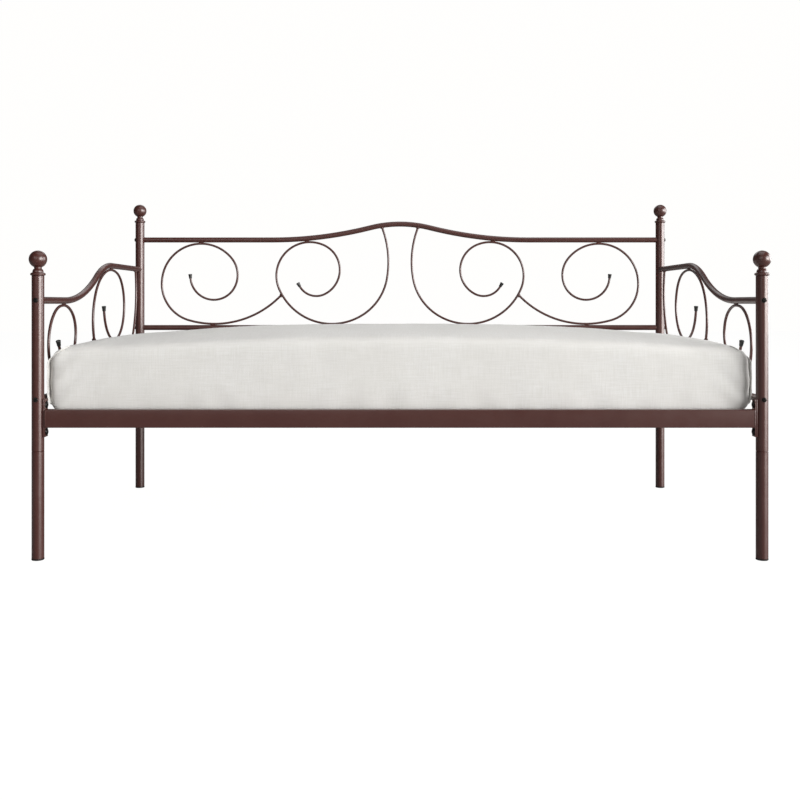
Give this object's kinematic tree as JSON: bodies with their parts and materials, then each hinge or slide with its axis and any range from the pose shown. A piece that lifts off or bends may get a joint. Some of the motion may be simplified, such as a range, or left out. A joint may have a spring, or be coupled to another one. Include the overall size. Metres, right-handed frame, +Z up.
{
  "type": "daybed",
  "caption": "Metal daybed with ball-topped posts, scrollwork in the curved back and lower curved arms, straight rails under a thick white mattress.",
  "frame": {"origin": "on the floor, under the middle of the daybed's length and depth", "axes": "+X along the bed to the right seen from the open front, +Y from the open front to the back panel, +Z up"},
  "size_m": [1.9664, 1.0514, 1.0432],
  "materials": {
    "powder_coat": "satin dark bronze powder coat",
    "slat_coat": "satin dark bronze powder coat, thinner than on the frame",
    "bolt_black": "black oxide steel",
    "tip_black": "moulded black",
    "glide_plastic": "moulded black",
    "mattress_cover": "matte woven cotton, off-white"
  },
  "bodies": {
    "frame": {"front_left_glide": "glide_plastic", "front_left_leg": "powder_coat", "front_left_post": "powder_coat", "front_left_finial": "powder_coat", "rear_left_glide": "glide_plastic", "rear_left_leg": "powder_coat", "rear_left_post": "powder_coat", "rear_left_finial": "powder_coat", "front_right_glide": "glide_plastic", "front_right_leg": "powder_coat", "front_right_post": "powder_coat", "front_right_finial": "powder_coat", "rear_right_glide": "glide_plastic", "rear_right_leg": "powder_coat", "rear_right_post": "powder_coat", "rear_right_finial": "powder_coat", "left_arm_top_tube": "powder_coat", "left_arm_lower_tube": "powder_coat", "left_arm_rear_scroll": "powder_coat", "left_arm_front_scroll": "powder_coat", "left_arm_rear_scroll_tip": "tip_black", "left_arm_front_scroll_tip": "tip_black", "left_arm_lower_bolt": "bolt_black", "left_arm_upper_bolt": "bolt_black", "right_arm_top_tube": "powder_coat", "right_arm_lower_tube": "powder_coat", "right_arm_rear_scroll": "powder_coat", "right_arm_front_scroll": "powder_coat", "right_arm_rear_scroll_tip": "tip_black", "right_arm_front_scroll_tip": "tip_black", "right_arm_lower_bolt": "bolt_black", "right_arm_upper_bolt": "bolt_black", "back_top_tube": "powder_coat", "back_lower_tube": "powder_coat", "back_left_inner_scroll": "powder_coat", "back_left_outer_scroll": "powder_coat", "back_left_inner_scroll_tip": "tip_black", "back_left_outer_scroll_tip": "tip_black", "back_left_lower_bolt": "bolt_black", "back_left_upper_bolt": "bolt_black", "back_right_inner_scroll": "powder_coat", "back_right_outer_scroll": "powder_coat", "back_right_inner_scroll_tip": "tip_black", "back_right_outer_scroll_tip": "tip_black", "back_right_lower_bolt": "bolt_black", "back_right_upper_bolt": "bolt_black", "front_rail": "powder_coat", "rear_rail": "powder_coat", "slat_01": "slat_coat", "slat_02": "slat_coat", "slat_03": "slat_coat", "slat_04": "slat_coat", "slat_05": "slat_coat", "slat_06": "slat_coat", "slat_07": "slat_coat", "slat_08": "slat_coat", "slat_09": "slat_coat", "slat_10": "slat_coat"},
    "mattress_body": {"mattress": "mattress_cover"}
  },
  "joints": [
    {"name": "mattress_lift", "type": "slide", "parent": "frame", "child": "mattress_body", "axis": [0, 0, 1], "range_m": [0, 0.66]}
  ]
}
